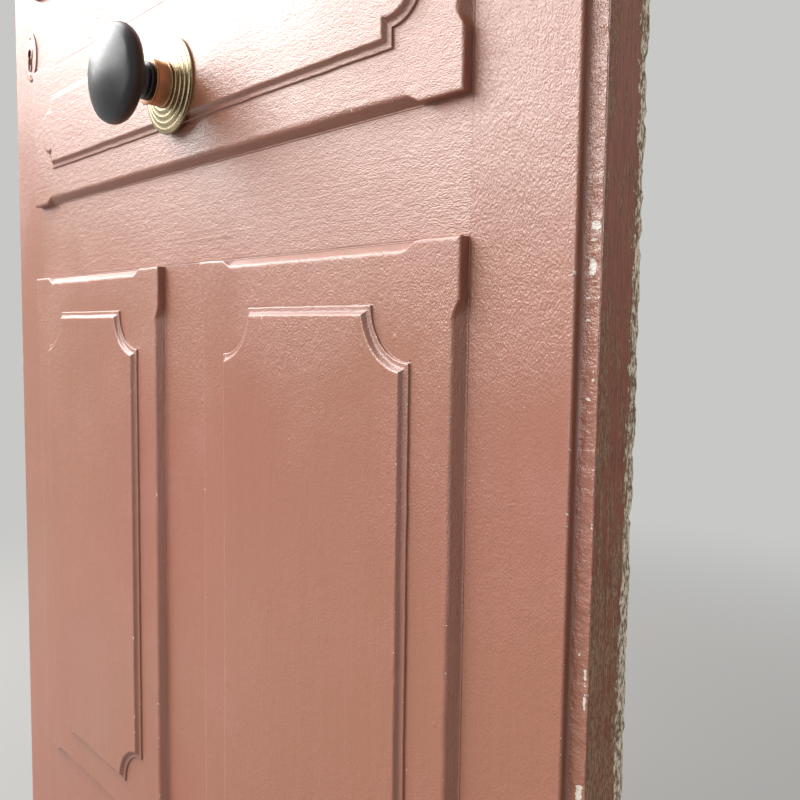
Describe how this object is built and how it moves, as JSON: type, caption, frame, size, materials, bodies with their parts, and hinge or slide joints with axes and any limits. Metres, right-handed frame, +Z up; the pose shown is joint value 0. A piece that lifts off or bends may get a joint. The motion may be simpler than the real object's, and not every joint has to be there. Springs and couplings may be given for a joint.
{
  "type": "panelled front door",
  "caption": "Old painted front door leaf with raised scooped-corner panels, a wide middle panel with a centre pull knob, a rim lock and lift-off hinge halves.",
  "frame": {"origin": "middle of the leaf's bottom edge, halfway through its thickness", "axes": "+Z up, +X across the leaf towards the hinge side, -Y out of the street face"},
  "size_m": [0.8674, 0.1578, 2.032],
  "materials": {
    "painted_wood": "satin brushed paint",
    "painted_plate": "satin brushed paint",
    "black_knob": "polished black",
    "polished_brass": "worn polish",
    "copper_brass": "satin",
    "bolt_brass": "dull",
    "bright_steel": "satin",
    "screw_steel": "dull",
    "lock_steel": "mill",
    "black_japan": "worn black lacquer",
    "hinge_steel": "old paint over steel"
  },
  "bodies": {
    "leaf": {"bolt_spring": "bright_steel", "bottom_rail": "painted_wood", "escutcheon_pins": "painted_plate", "flange_screws": "screw_steel", "hinge_bottom": "hinge_steel", "hinge_bottom_screws": "screw_steel", "hinge_middle": "hinge_steel", "hinge_middle_screws": "screw_steel", "hinge_stile": "painted_wood", "hinge_top": "hinge_steel", "hinge_top_screws": "screw_steel", "keyhole_escutcheon": "painted_plate", "knob_bolt": "bright_steel", "knob_ferrule": "copper_brass", "knob_head": "black_knob", "knob_nut": "bright_steel", "knob_rose": "polished_brass", "knob_washer": "bright_steel", "latch_spring": "bright_steel", "lock_case": "black_japan", "lock_plate": "lock_steel", "lock_rail": "painted_wood", "lock_screws": "screw_steel", "lock_stile": "painted_wood", "lower_left_panel": "painted_wood", "lower_muntin": "painted_wood", "lower_right_panel": "painted_wood", "middle_rail": "painted_wood", "top_rail": "painted_wood", "upper_left_panel": "painted_wood", "upper_muntin": "painted_wood", "upper_right_panel": "painted_wood", "wide_panel": "painted_wood"},
    "latch": {"latch_bolt": "bolt_brass", "latch_pull": "polished_brass"},
    "dead_bolt": {"dead_bolt": "bolt_brass"}
  },
  "joints": [
    {"name": "latch_slide", "type": "slide", "parent": "leaf", "child": "latch", "axis": [1, 0, 0], "range_m": [0, 0.012], "stiffness_N_per_m": 400, "springref_m": -0.008, "deforming": ["latch_spring"]},
    {"name": "dead_bolt_slide", "type": "slide", "parent": "leaf", "child": "dead_bolt", "axis": [-1, 0, 0], "range_m": [0, 0.016]}
  ]
}
